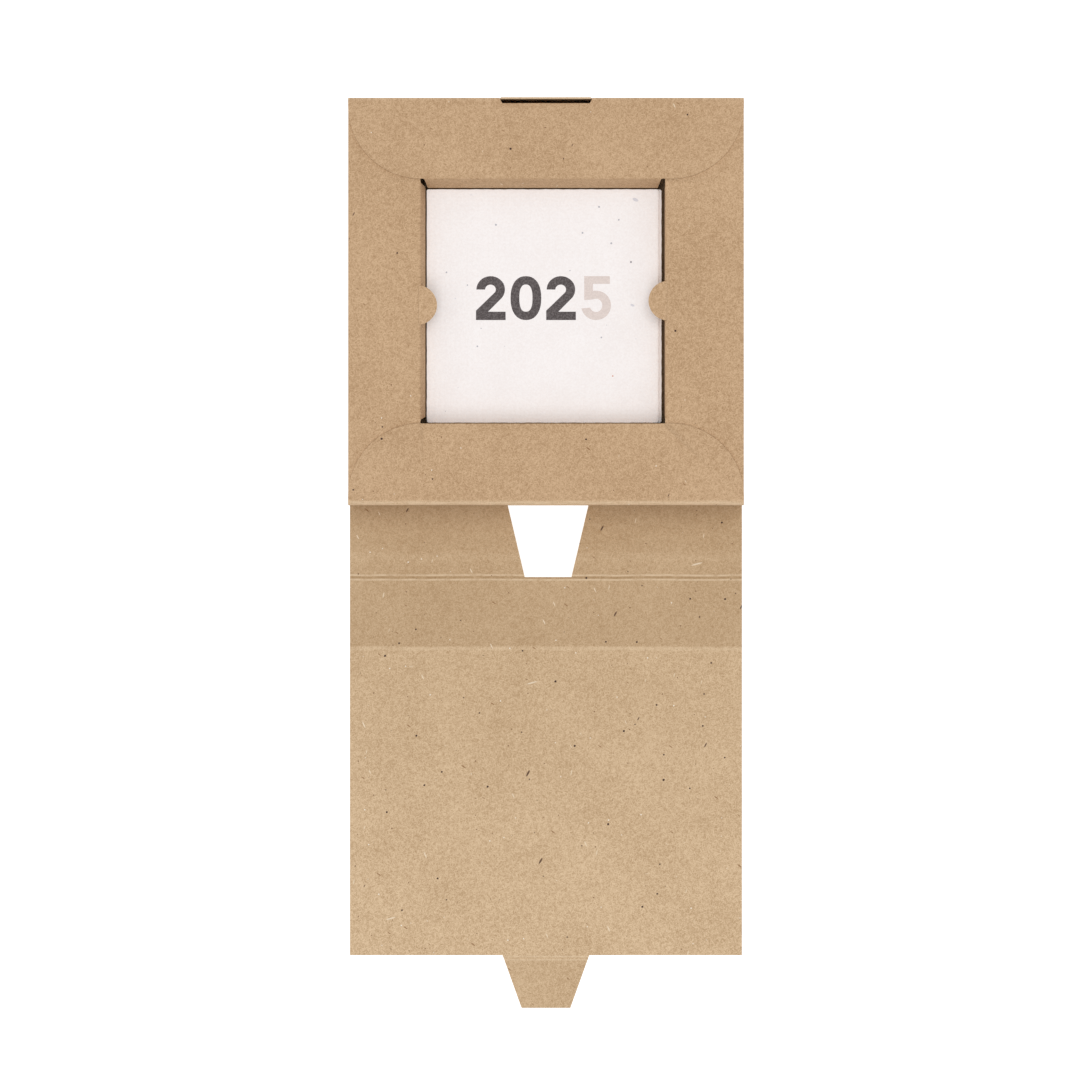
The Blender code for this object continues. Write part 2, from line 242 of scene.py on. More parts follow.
def felt(bench, flat, scale):
    """Fibres lying four ways: the brightest of four drawn-out noises."""
    layers = []
    for turn in (0.25, 1.05, 1.85, 2.65):
        turned = bench.node("ShaderNodeMapping", None, {"Vector": flat, "Rotation": (0, 0, turn)})
        drawn = bench.node("ShaderNodeMapping", None, {"Vector": turned, "Scale": (1.0, 0.26, 1.0)})
        layers.append(bench.noise(drawn, scale, 1.0, 0.5))
    highest = layers[0]
    for layer in layers[1:]:
        highest = bench.node("ShaderNodeMath", {"operation": "MAXIMUM"}, [highest, layer])
    return highest


def crease_line(bench, flat, across, line, width, waver):
    """A line where the coordinate across is near the line, wandering by the waver, as a mask for the
    painted highlights and the painted groove shade at the creases.
    """
    wander = (bench.noise(flat, 70.0, 2.0, 0.6) - 0.5) * (2 * waver)
    off = bench.node("ShaderNodeMath", {"operation": "ABSOLUTE"}, [across + wander - line])
    broken = bench.noise(flat, 300.0, 2.0, 0.6).above(0.30, 0.60)
    return off.below(width * 0.35, width) * (broken * 0.6 + 0.4)


def kraft(name, tone, dirt, fluff, creases):
    """Kraft board. Tone is its mean colour, and dirt and fluff are its dark and pale flecks.

    Creases is a function that gives the painted shade of the board's panels and the painted highlights
    along its folds and creases.
    """
    bench = Bench(name)
    place, flat = on_sheet(bench)
    cloud = bench.noise(flat, 45.0, 2.0, 0.5)
    patch = bench.noise(flat, 330.0, 3.0, 0.6)
    fibre = felt(bench, flat, 2700.0)
    dust = bench.noise(flat, 4000.0, 1.0, 0.5)
    light = linear(tone[0] * 1.11, tone[1] * 1.13, tone[2] * 1.16)
    dark = linear(tone[0] * 0.88, tone[1] * 0.84, tone[2] * 0.79)
    level = cloud * 0.16 + patch * 0.18 + fibre * 0.90 + dust * 0.48 - 0.41
    colour = bench.mix(level.above(0.28, 0.74), dark, light)
    shade, lines = creases(bench, place, flat)
    # painted shade: the board is darkened where the creases function puts its shade mask
    colour = bench.mix(shade, colour, linear(tone[0] * 0.75, tone[1] * 0.68, tone[2] * 0.58))
    # painted highlight: pale lines along the folds and creases
    colour = bench.mix(lines * 0.6, colour, linear(228, 204, 172))
    for turn, cells, share, size, narrow, paint, depth in (
        (0.0, 210.0, 0.30 * dirt, 0.038, 1.0, (112, 74, 46), 0.85),
        (0.9, 170.0, 0.19 * dirt, 0.048, 0.9, (58, 38, 36), 0.95),
        (0.5, 200.0, 0.09 * dirt, 0.050, 0.27, (86, 60, 48), 0.90),
        (2.2, 260.0, 0.16 * dirt, 0.044, 0.24, (136, 96, 60), 0.75),
        (1.4, 210.0, 0.14 * fluff, 0.038, 1.0, (248, 240, 226), 0.90),
        (2.7, 240.0, 0.15 * fluff, 0.042, 0.20, (238, 220, 194), 0.75),
        (0.2, 260.0, 0.15 * fluff, 0.040, 0.20, (234, 216, 188), 0.70),
        (1.3, 150.0, 0.08 * fluff, 0.034, 0.13, (236, 220, 196), 0.75),
    ):
        mask = flecks(bench, flat, turn, cells, share, size, narrow)
        colour = bench.mix(mask * depth, colour, linear(*paint))
    bumps = ((cloud, 0.30 * MM), (fibre + patch * 0.6, 0.055 * MM), (lines, 0.05 * MM))
    return bench.done(colour, fibre * 0.10 + 0.80, bumps)


def tray_fold_highlights(bench, place, flat):
    """The tray's front folds: a painted highlight streaked along the foot fold of the front, and a
    fainter painted highlight along the head fold.
    """
    _, y, z = place
    drawn = bench.node("ShaderNodeMapping", None, {"Vector": flat, "Scale": (0.07, 1.0, 1.0)})
    streaks = bench.noise(drawn, 2600.0, 2.0, 0.6).above(0.35, 0.65)
    top = z.above(BOX_HIGH.z - 1.2 * MM, BOX_HIGH.z - 0.5 * MM)
    # painted highlight along the rounded foot fold at the top of the front, and a fainter painted
    # highlight along the head fold
    painted_foot_fold_highlight = (y - BOX_LOW.y).below(0.8 * MM, 1.6 * MM) * top
    painted_head_fold_highlight = (BOX_HIGH.y - y).below(0.3 * MM, 0.9 * MM) * top
    return 0.0, (painted_foot_fold_highlight * 0.95 + painted_head_fold_highlight * 0.35) * (streaks * 0.6 + 0.4)


def cover_creases(bench, place, flat):
    """The cover's creases: painted highlights along a double scored line, two soft ones and the tab's,
    and painted shade in the scored groove. The panels by the hinge and the tab are given painted shade,
    so they are darker than the large one, which is itself painted darker towards the hinge."""
    y = place[1]
    crease_1_y, crease_2_y = crease_y("crease_1"), crease_y("crease_2")
    tab_y, bend_y = crease_y("tab_fold"), crease_y("spine_bend")
    wander = (bench.noise(flat, 60.0, 2.0, 0.6) - 0.5) * (1.2 * MM)
    # painted shade: the panels between crease 2 and the hinge, the spine by the box and the tab are
    # darkened, and the main panel grows darker towards the hinge
    painted_panel_shade = (y + wander).above(crease_2_y - 0.3 * MM, crease_2_y + 0.5 * MM) * 0.22
    painted_hinge_shade = (y + wander).above(bend_y - 1.5 * MM, bend_y + 4 * MM) * 0.10
    painted_tab_shade = y.below(tab_y - 1.5 * MM, tab_y + 0.5 * MM) * 0.16
    painted_shade_gradient = y.above(tab_y, crease_2_y) * 0.12 - (y + wander).above(crease_1_y, bend_y) * 0.07
    # painted shade in the groove between the scored crease's two pale lines
    painted_groove_shade = crease_line(bench, flat, y, crease_1_y - 0.1 * MM, 0.45 * MM, 0.15 * MM) * 0.30
    # painted highlights: pale lines along the crease ridges, two each for the scored crease and the
    # tab's crease, one each for the soft creases
    lines = 0.0
    for line, width, waver, strength in (
        (crease_1_y + 0.55 * MM, 0.42 * MM, 0.30 * MM, 1.0),
        (crease_1_y - 0.70 * MM, 0.40 * MM, 0.24 * MM, 1.0),
        (crease_2_y - 0.3 * MM, 0.80 * MM, 0.45 * MM, 0.42),
        (tab_y + 0.1 * MM, 0.34 * MM, 0.12 * MM, 0.8),
        (tab_y - 0.75 * MM, 0.34 * MM, 0.12 * MM, 0.8),
        (bend_y, 1.6 * MM, 0.6 * MM, 0.12),
    ):
        lines = lines + crease_line(bench, flat, y, line, width, waver) * strength
    return painted_panel_shade + painted_hinge_shade + painted_tab_shade + painted_shade_gradient + painted_groove_shade, lines


def cut_edge(name):
    """Where the die cut the board: paler, and drawn out along the layers of the felt."""
    bench = Bench(name)
    _, flat = on_sheet(bench)
    layers = bench.noise(flat, 5200.0, 2.0, 0.6)
    torn = bench.noise(flat, 1300.0, 2.0, 0.5)
    colour = bench.mix(layers.above(0.3, 0.7), linear(196, 166, 130), linear(232, 208, 176))
    colour = bench.mix(torn.above(0.55, 0.75) * 0.35, colour, linear(150, 118, 84))
    return bench.done(colour, layers * 0.08 + 0.88, ((layers + torn, 0.03 * MM),))


OUTER = kraft("kraft outer face", (190, 158, 123), 0.45, 0.35, tray_fold_highlights)
INNER = kraft("kraft inner face", (202, 174, 139), 1.0, 1.0, cover_creases)
EDGE = cut_edge("kraft cut edge")

# %% [markdown]
# ## Handmade card
# The cards are thick paper with seeds and coloured flecks in the pulp. The mould leaves a faint
# laid pattern, which is two crossed waves with a little noise, and the flecks are blue-grey with a
# rare orange one.

# %% Card and ink finishes


def laid(bench, place):
    """The paper mould's wires, as a height."""
    wires = [
        bench.node(
            "ShaderNodeTexWave",
            {"bands_direction": way},
            {"Vector": place, "Scale": scale, "Distortion": 1.6, "Detail": 1.0, "Detail Scale": 2.0},
            out="Fac",
        )
        for way, scale in (("X", 210.0), ("Y", 260.0))
    ]
    return wires[0] * 0.5 + wires[1] * 0.5


def card_paper():
    bench = Bench("seeded card")
    place = bench.node("ShaderNodeTexCoord", out="Object")
    pulp = bench.noise(place, 90.0, 3.0, 0.6)
    tooth = bench.noise(place, 1900.0, 2.0, 0.6)
    tone = pulp * 0.35 + tooth * 0.65
    colour = bench.mix(tone.above(0.3, 0.7), linear(245, 238, 236), linear(251, 246, 245))
    for turn, cells, share, size, narrow, shade, depth in (
        (0.4, 125.0, 0.22, 0.034, 1.0, (150, 152, 164), 0.70),
        (1.0, 90.0, 0.10, 0.028, 1.0, (92, 88, 98), 0.75),
        (2.0, 110.0, 0.10, 0.045, 0.5, (196, 196, 208), 0.60),
        (0.8, 70.0, 0.10, 0.080, 0.8, (214, 208, 212), 0.35),
        (1.6, 40.0, 0.08, 0.010, 1.0, (206, 112, 58), 0.85),
    ):
        mask = flecks(bench, place, turn, cells, share, size, narrow)
        colour = bench.mix(mask * depth, colour, linear(*shade))
    bumps = ((laid(bench, place), 0.05 * MM), (tooth + pulp, 0.05 * MM))
    return bench.done(colour, tooth * 0.08 + 0.86, bumps)


def printed_ink(name, shade, lift):
    """Ink on rough paper: the highest fibres stay bare, so it is a little speckled."""
    bench = Bench(name)
    place = bench.node("ShaderNodeTexCoord", out="Object")
    tooth = bench.noise(place, 2600.0, 3.0, 0.7)
    thin, full = (linear(*(c + more for c in shade)) for more in (lift, 0))
    colour = bench.mix(tooth.above(0.42, 0.62), full, thin)
    return bench.done(colour, tooth * 0.1 + 0.72, ((laid(bench, place), 0.04 * MM), (tooth, 0.03 * MM)))


CARD = card_paper()
DARK_INK = printed_ink("charcoal ink", (80, 73, 73), 30)
PALE_INK = printed_ink("pale warm ink", (220, 206, 200), 10)

# %% [markdown]
# ## Working the board
# Each board starts as a plane primitive at its place, like a blank cut from the sheet. Rounded
# corners are a vertex bevel, a fold is an edge extruded and then bevelled, and Solidify gives the
# blank its thickness inwards, with the inner face and the cut edge in their own finishes. Doing
# it in that order means that a fold stays one sheet of even thickness all the way round.

# %% Helpers for edit mode


def blank(name, low, high, z):
    """A rectangular blank from (x, y) low to high at the height z, facing up."""
    bpy.ops.object.select_all(action="DESELECT")
    middle = ((low[0] + high[0]) / 2, (low[1] + high[1]) / 2, z)
    bpy.ops.mesh.primitive_plane_add(size=1, location=middle)
    made = bpy.context.active_object
    made.name = made.data.name = name
    made.scale = (high[0] - low[0], high[1] - low[1], 1)
    bpy.ops.object.transform_apply(location=True, rotation=True, scale=True)
    return made


def select(piece):
    """Makes the piece the active one and the only one selected."""
    bpy.ops.object.select_all(action="DESELECT")
    piece.select_set(True)
    bpy.context.view_layer.objects.active = piece


def choose(piece, test, kind="EDGE"):
    """Selects the vertices, edges or faces all of whose points pass the test, in edit mode."""
    if bpy.context.mode != "OBJECT":
        bpy.ops.object.mode_set(mode="OBJECT")
    select(piece)
    bpy.ops.object.mode_set(mode="EDIT")
    bpy.ops.mesh.select_mode(type=kind)
    bpy.ops.mesh.select_all(action="DESELECT")
    bpy.ops.object.mode_set(mode="OBJECT")
    mesh = piece.data
    passed = [test(vertex.co) for vertex in mesh.vertices]
    if kind == "VERT":
        for vertex, good in zip(mesh.vertices, passed):
            vertex.select = good
    for item in {"VERT": (), "EDGE": mesh.edges, "FACE": mesh.polygons}[kind]:
        item.select = all(passed[i] for i in item.vertices)
    bpy.ops.object.mode_set(mode="EDIT")


def leave(piece):
    bpy.ops.object.mode_set(mode="OBJECT")
    return piece


def near(value, target):
    return abs(value - target) < 0.005 * MM


def pull(piece, test, offset):
    """Extrudes the chosen edges by the offset."""
    choose(piece, test)
    bpy.ops.mesh.extrude_region_move(TRANSFORM_OT_translate={"value": offset})
    leave(piece)


def shift(piece, test, offset):
    choose(piece, test, "VERT")
    bpy.ops.transform.translate(value=offset)
    leave(piece)


def round_fold(piece, test, radius, steps=5):
    choose(piece, test)
    bpy.ops.mesh.bevel(offset=radius, segments=steps, affect="EDGES")
    leave(piece)


def rows(piece, places, across=(0, 1, 0)):
    """Cuts the whole blank along straight lines, to give it rows of points where it bends."""
    way = Vector(across)
    for place in places:
        choose(piece, lambda co: True, "FACE")
        bpy.ops.mesh.bisect(plane_co=way * place, plane_no=across)
        leave(piece)


def apply(piece, modifier):
    select(piece)
    bpy.ops.object.modifier_apply(modifier=modifier.name)


def cut(piece, cutter):
    """Subtracts a closed cutter and throws it away."""
    knife = piece.modifiers.new("die", "BOOLEAN")
    knife.object, knife.operation, knife.solver = cutter, "DIFFERENCE", "EXACT"
    apply(piece, knife)
    bpy.data.objects.remove(cutter, do_unlink=True)


def thicken(piece, finishes=(OUTER, INNER, EDGE), even=True):
    """Gives a folded blank the board's thickness behind its front, and its three finishes."""
    piece.data.materials.clear()
    for finish in finishes:
        piece.data.materials.append(finish)
    wall = piece.modifiers.new("thickness", "SOLIDIFY")
    wall.thickness, wall.offset = BOARD, -1
    wall.use_even_offset = even
    wall.material_offset, wall.material_offset_rim = 1, 2
    apply(piece, wall)
    return piece


def ease(piece, width=0.07 * MM):
    """Takes the sharpness off every cut edge, so that it catches a line of light."""
    edge = piece.modifiers.new("eased edges", "BEVEL")
    edge.width, edge.segments, edge.limit_method = width, 2, "ANGLE"
    edge.angle_limit = math.radians(50)
    edge.use_clamp_overlap = True
    apply(piece, edge)
    return piece


def keep_places(piece, across):
    """Stores where each point lies, and where it lies with the walls that face across laid flat."""
    for name, lean in (("place", (0, 0)), ("sheet", across)):
        kept = piece.data.attributes.new(name, "FLOAT_VECTOR", "POINT")
        for vertex, value in zip(piece.data.vertices, kept.data):
            x, y, z = vertex.co
            value.vector = (x + lean[0] * z, y + lean[1] * z, 0 if any(lean) else z)


def finish_piece(piece, across=(0, 1)):
    select(piece)
    bpy.ops.object.shade_smooth_by_angle(angle=math.radians(35))
    keep_places(piece, across)
    return piece


# %% [markdown]
# ## The cross flaps
# The head and foot walls run on into wide flaps that lie over the side strips. Their window
# corners are quarter circles. Under the window edge each flap turns down once more, into a wall of
# the card well. All of that is one sheet, so it is one mesh: the flap, the wall pulled down from
# its outer edge and the inner flap pulled down from its window edge.

# %% Cross flaps


def face_up(piece, top):
    """Turns all the faces one way, so that the widest one at the height top looks up."""
    choose(piece, lambda co: True, "FACE")
    bpy.ops.mesh.normals_make_consistent(inside=False)
    leave(piece)
    points = piece.data.vertices
    level = [f for f in piece.data.polygons if all(near(points[i].co.z, top) for i in f.vertices)]
    if max(level, key=lambda f: f.area).normal.z < 0:
        choose(piece, lambda co: True, "FACE")
        bpy.ops.mesh.flip_normals()
        leave(piece)


def cross_flap(name, flap, wall, inner, sign):
    """Sign is 1 for the head of the box and -1 for its foot."""
    low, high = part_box(flap)
    inner_low, inner_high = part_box(inner)
    fold_y, window_y = (high.y, low.y) if sign > 0 else (low.y, high.y)
    top = high.z
    piece = blank(name, (low.x, low.y), (high.x, high.y), top)
    choose(piece, lambda co: near(co.y, window_y), "VERT")
    bpy.ops.mesh.bevel(offset=FLAP_CORNER, segments=28, affect="VERTICES")
    leave(piece)
    rows(piece, (inner_low.x, inner_high.x), (1, 0, 0))
    ends = (inner_low.x - SLACK, inner_high.x + SLACK)
    pull(piece, lambda co: near(co.y, fold_y), (0, 0, WALL_FOOT - top))
    well_y = inner_low.y if sign > 0 else inner_high.y

    def at_window(co):
        return near(co.y, window_y) and near(co.z, top) and ends[0] < co.x < ends[1]

    pull(piece, at_window, (0, well_y - window_y, WELL_BEND - top))
    drop = (0, 0, inner_low.z - WELL_BEND)
    pull(piece, lambda co: near(co.z, WELL_BEND) and near(co.y, well_y), drop)
    for side in (-1, 1):
        for level, inset in ((inner_low.z, WELL_TAPER), (WELL_BEND, WELL_TAPER_AT_BEND)):
            shift(
                piece,
                lambda co: near(co.z, level) and near(co.y, well_y) and co.x * side > 0,
                (-side * inset, 0, 0),
            )
    round_fold(piece, lambda co: near(co.y, fold_y) and near(co.z, top), CROSS_FOLD_ROUND)
    round_fold(piece, at_window, WINDOW_ROUND, 4)
    face_up(piece, top)
    thicken(piece)
    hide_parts(flap, wall, inner)
    return piece


def prism(name, points, low, high):
    """A closed block over the outline (x, y) from the height low to high."""
    bpy.ops.object.select_all(action="DESELECT")
    bpy.ops.mesh.primitive_circle_add(vertices=len(points), radius=1 * MM, fill_type="NGON")
    block = bpy.context.active_object
    block.name = name
    for vertex, (x, y) in zip(block.data.vertices, points):
        vertex.co = (x, y, low)
    choose(block, lambda co: True, "FACE")
    bpy.ops.mesh.extrude_region_move(TRANSFORM_OT_translate={"value": (0, 0, high - low)})
    bpy.ops.mesh.select_all(action="SELECT")
    bpy.ops.mesh.normals_make_consistent(inside=False)
    return leave(block)


top_frame = cross_flap("top_flap_and_wall", "top_flap", "top_wall", "top_inner_flap", 1)
bottom_frame = cross_flap("bottom_flap_and_wall", "bottom_flap", "bottom_wall", "bottom_inner_flap", -1)

# %% [markdown]
# The closing tab goes in behind the head flap, so the flap has a shallow notch there, and the head
# wall stands up through it as a lip. The notch is die-cut through the fold, so the lip is a strip
# of the wall that never turned down.

# %% Notch and lip
NOTCH_AT_FOLD, NOTCH_INSIDE, NOTCH_DEPTH = 26.0 * MM, 24.3 * MM, 1.55 * MM
head_y = BOX_HIGH.y
notch = prism(
    "notch_die",
    [
        (-NOTCH_AT_FOLD / 2, head_y + 1 * MM),
        (-NOTCH_AT_FOLD / 2, head_y),
        (-NOTCH_INSIDE / 2, head_y - NOTCH_DEPTH),
        (NOTCH_INSIDE / 2, head_y - NOTCH_DEPTH),
        (NOTCH_AT_FOLD / 2, head_y),
        (NOTCH_AT_FOLD / 2, head_y + 1 * MM),
    ],
    STRIP_TOP - 1.0 * MM,
    BOX_HIGH.z + 1 * MM,
)
cut(top_frame, notch)
for piece in (top_frame, bottom_frame):
    finish_piece(ease(piece))
    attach(piece, "box")

LIP_HALF, LIP_HEIGHT = 12.6 * MM, 4.0 * MM
lip_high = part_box("top_wall")[1]
lip = blank("top_wall_lip", (-LIP_HALF, 0), (LIP_HALF, LIP_HEIGHT), 0)
choose(lip, lambda co: co.y > 1 * MM, "VERT")
bpy.ops.mesh.bevel(offset=0.8 * MM, segments=5, affect="VERTICES")
bpy.ops.mesh.select_all(action="SELECT")
bpy.ops.transform.rotate(value=-math.pi / 2, orient_axis="X", center_override=(0, 0, 0))
leave(lip)
shift(lip, lambda co: True, (0, lip_high.y, lip_high.z - LIP_HEIGHT))
choose(lip, lambda co: True, "FACE")
bpy.ops.mesh.flip_normals()
leave(lip)
finish_piece(ease(thicken(lip)))
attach(lip, "box")
print("lip stands", round((lip_high.z - BOX_HIGH.z) / MM, 2), "mm above the flap")

# %% [markdown]
# ## The side strips
# The side walls turn in at the top as strips that run under the cross flaps, and turn down again at the
# window. Half-way along, a round tongue is cut out of the inner flap and stays in the strip's plane: it
# is what holds the cards in. The tongue is a piece of its own; the real one bends up when a card is
# taken out.

# %% Side strips
TONGUE_RADIUS, TONGUE_REACH, TONGUE_ROOT = 5.5 * MM, 4.6 * MM, 0.5 * MM
TONGUE_CUT, TONGUE_BEND = 0.12 * MM, 0.8 * MM


def side_frame(name, strip, wall, inner, tongue, side):
    """Side is -1 for the left of the window and 1 for the right."""
    low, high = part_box(strip)
    inner_low, inner_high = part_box(inner)
    fold_x, window_x = (low.x, high.x) if side < 0 else (high.x, low.x)
    top = high.z
    piece = blank(name, (low.x, low.y), (high.x, high.y), top)
    rows(piece, (inner_low.y, inner_high.y))
    pull(piece, lambda co: near(co.x, fold_x), (0, 0, WALL_FOOT - top))
    ends = (inner_low.y - SLACK, inner_high.y + SLACK)
    well_x = inner_high.x if side < 0 else inner_low.x

    def at_window(co):
        return near(co.x, window_x) and near(co.z, top) and ends[0] < co.y < ends[1]

    pull(piece, at_window, (well_x - window_x, 0, WELL_BEND - top))
    drop = (0, 0, inner_low.z - WELL_BEND)
    pull(piece, lambda co: near(co.z, WELL_BEND) and near(co.x, well_x), drop)
    middle = (inner_low.y + inner_high.y) / 2
    for way in (-1, 1):
        for level, inset in ((inner_low.z, WELL_TAPER), (WELL_BEND, WELL_TAPER_AT_BEND)):
            shift(
                piece,
                lambda co: near(co.z, level) and near(co.x, well_x) and (co.y - middle) * way > 0,
                (0, -way * inset, 0),
            )
    round_fold(piece, lambda co: near(co.x, fold_x) and near(co.z, top), SIDE_FOLD_ROUND)
    round_fold(piece, at_window, WINDOW_ROUND, 4)
    face_up(piece, top)
    thicken(piece)
    tongue_low, tongue_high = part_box(tongue)
    centre_y = (tongue_low.y + tongue_high.y) / 2
    bpy.ops.object.select_all(action="DESELECT")
    bpy.ops.mesh.primitive_cylinder_add(
        vertices=64,
        radius=TONGUE_RADIUS + TONGUE_CUT,
        depth=4 * MM,
        rotation=(0, math.pi / 2, 0),
        location=(window_x - side * 1.5 * MM, centre_y, top + TONGUE_RADIUS - TONGUE_REACH),
    )
    cut(piece, bpy.context.active_object)
    finish_piece(ease(piece), (1, 0))
    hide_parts(strip, wall, inner)
    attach(piece, "box")
    return window_x, centre_y, top


def round_tongue(name, node, body, window_x, centre_y, top, side):
    """A disc cut off at the window edge."""
    bpy.ops.object.select_all(action="DESELECT")
    centre_x = window_x + side * (TONGUE_RADIUS - TONGUE_REACH)
    bpy.ops.mesh.primitive_circle_add(
        vertices=96, radius=TONGUE_RADIUS, fill_type="NGON", location=(centre_x, centre_y, top)
    )
    piece = bpy.context.active_object
    piece.name = piece.data.name = name
    bpy.ops.object.transform_apply(location=True, rotation=True, scale=True)
    choose(piece, lambda co: True, "FACE")
    root = window_x + side * TONGUE_ROOT
    bpy.ops.mesh.bisect(
        plane_co=(root, 0, 0), plane_no=(side, 0, 0), clear_outer=True, use_fill=False
    )
    leave(piece)
    rows(piece, [window_x + side * step * MM for step in (0.25, 0.0, -0.25, -0.5, -0.8)], (1, 0, 0))
    thicken(piece)
    finish_piece(piece)
    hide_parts(node)
    end = (window_x - side * TONGUE_BEND, centre_y, top)
    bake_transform(piece)


for side, word in ((-1, "left"), (1, "right")):
    spot = side_frame(
        f"{word}_strip_and_wall",
        f"{word}_strip",
        f"{word}_wall",
        f"{word}_inner_flap",
        f"{word}_retaining_tab",
        side,
    )
    round_tongue(f"{word}_tongue", f"{word}_retaining_tab", f"{word}_retainer", *spot, side)

# %% [markdown]
# ## Back boards
# Two layers are glued face to face behind the cards, the tray's own back and the cover's. Both have
# the narrow slot that takes the closing tab when the cover is folded into a stand.

# %% Back boards
SLOT_HALF = 12.9 * MM
slot_rows = [
    vertex.co.y
    for vertex in frame["nodes"]["tray_back_panel"].data.vertices
    if abs(vertex.co.x) < 20 * MM
]
STAND_SLOT = (round(min(slot_rows), 6), round(max(slot_rows), 6))


def back_board(name, node, low_y):
    low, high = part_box(node)
    piece = blank(name, (low.x, low_y), (high.x, high.y), high.z)
    thicken(piece)
    slot_low, slot_high = STAND_SLOT
    outline = [
        (-SLOT_HALF, slot_low),
        (SLOT_HALF, slot_low),
        (SLOT_HALF, slot_high),
        (-SLOT_HALF, slot_high),
    ]
    cut(piece, prism("slot_die", outline, low.z - 1 * MM, high.z + 1 * MM))
    finish_piece(ease(piece))
    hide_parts(node)
    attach(piece, "box")


back_board("tray_back", "tray_back_panel", BOX_LOW.y)

# %% [markdown]
# ## The cover
# The cover is one long sheet with four creases and a tab. Each crease is a joint, and a mesh can
# bend across one joint, so the sheet is parted into pieces that each own the crease at their
# start. The partings lie a little before the next crease, on flat board where both pieces move
# together, so they don't show. Crease lines are pressed into the mesh: a scored crease is a narrow
# bead between two grooves.

# %% Cover pieces
SEAM = 1.6 * MM
BEND_SEAM = 3.0 * MM
LIGHT_SEAM = 1.3 * MM
TAB_SEAM = 0.3 * MM
HINGE_TUCK = 1.8 * MM


def profile(piece, y, steps):
    """Raises or lowers rows around a crease: pairs of distance from it and height."""
    rows(piece, [y + distance * MM for distance, _ in steps])
    for distance, height in steps:
        if height:
            shift(piece, lambda co: near(co.y, y + distance * MM), (0, 0, height * MM))


SCORED = (
    (1.5, 0), (0.95, -0.02), (0.75, 0.03), (0.55, 0.08), (0.35, 0.0), (0.0, -0.05), (-0.4, -0.02),
    (-0.65, 0.08), (-0.9, 0.02), (-1.4, 0),
)
SOFT = (
    (2.4, 0), (1.6, 0.02), (0.9, 0.05), (0.3, 0.08), (-0.3, 0.08), (-0.9, 0.05), (-1.6, 0.02),
    (-2.4, 0),
)
LIGHT = ((1.2, 0), (0.7, 0.02), (0.35, 0.06), (0.0, 0.08), (-0.35, 0.06), (-0.7, 0.02), (-1.2, 0))
HINGE_ROWS = ((1.3, 0), (0.6, 0), (0.3, 0), (0.0, 0), (-0.3, 0), (-0.6, 0), (-1.0, 0), (-1.5, 0))


def cover_piece(name, nodes, corners, joint, shape, cutter=None):
    """A blank with four corners, creased by the shape around its joint. A cutter is the high and low Y
    of a part of the opening to cut away."""
    left_high, left_low, right_low, right_high = corners
    piece = blank(name, (left_low[0], left_low[1]), (right_high[0], right_high[1]), BOARD)
    places = {(-1, 1): left_high, (-1, -1): left_low, (1, -1): right_low, (1, 1): right_high}
    middle = Vector(((left_low[0] + right_high[0]) / 2, (left_low[1] + right_high[1]) / 2))
    for vertex in piece.data.vertices:
        side = (1 if vertex.co.x > middle.x else -1, 1 if vertex.co.y > middle.y else -1)
        vertex.co.x, vertex.co.y = places[side]
    profile(piece, crease_y(joint), shape)
    thicken(piece, (INNER, OUTER, EDGE), even=False)
    if cutter:
        cut(piece, opening_block(*cutter))
    finish_piece(piece)
    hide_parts(*nodes)
    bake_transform(piece)


OPENING_CENTRE, OPENING_AT_HINGE, OPENING_AT_CREASE = 0.6 * MM, 22.6 * MM, 13.1 * MM
box_foot = BOX_LOW.y
crease_1_y, crease_2_y = crease_y("crease_1"), crease_y("crease_2")
bend_y = crease_y("spine_bend")
half = BOX_HIGH.x


def opening_edge(y, side):
    """X of the tapering opening's edge at y."""
    share = (box_foot - y) / (box_foot - crease_1_y)
    width = OPENING_AT_HINGE + (OPENING_AT_CREASE - OPENING_AT_HINGE) * share
    return OPENING_CENTRE + side * width / 2


def leg(name, nodes, high_y, low_y, side, joint, shape):
    """One of the legs beside the opening."""
    near_high, near_low = opening_edge(high_y, side), opening_edge(low_y, side)
    edge = side * half
    xs = (edge, edge, near_low, near_high) if side < 0 else (near_high, near_low, edge, edge)
    corners = tuple(zip(xs, (high_y, low_y, low_y, high_y)))
    cover_piece(name, nodes, corners, joint, shape)


back_low_y, band_y = box_foot + HINGE_TUCK, bend_y + BEND_SEAM
foot_y, main_y = crease_1_y + SEAM, crease_2_y + LIGHT_SEAM
for side, word in ((-1, "left"), (1, "right")):
    spine, band = f"cover_spine_{word}", f"cover_band_{word}"
    leg(f"{spine}_sheet", [spine], back_low_y, band_y, side, "cover_hinge", HINGE_ROWS)
    leg(f"{band}_sheet", [band], band_y, foot_y, side, "spine_bend", SOFT)


def full_width(high_y, low_y):
    return ((-half, high_y), (-half, low_y), (half, low_y), (half, high_y))


def opening_block(high_y, low_y):
    """A block as wide as the opening, to cut it from a piece that is full width."""
    around = ((-1, high_y), (-1, low_y), (1, low_y), (1, high_y))
    outline = [(opening_edge(y, side), y) for side, y in around]
    return prism("opening", outline, -2 * MM, 3 * MM)


cover_piece(
    "cover_foot_sheet",
    ["cover_foot_panel"],
    full_width(foot_y, main_y),
    "crease_1",
    SCORED,
    cutter=(crease_1_y + 2 * SEAM, crease_1_y),
)
main_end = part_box("cover_main_panel")[0].y + TAB_SEAM
cover_piece(
    "cover_main_sheet", ["cover_main_panel"], full_width(main_y, main_end), "crease_2", LIGHT
)

# %% [markdown]
# The cover's own back board ends just short of the hinge, where the two spine legs take over. Their
# upper ends lie under the box. Between the legs, the opening runs right up to the box.

# %% Cover back and closing tab
back_board("cover_back", "cover_back_panel", back_low_y)

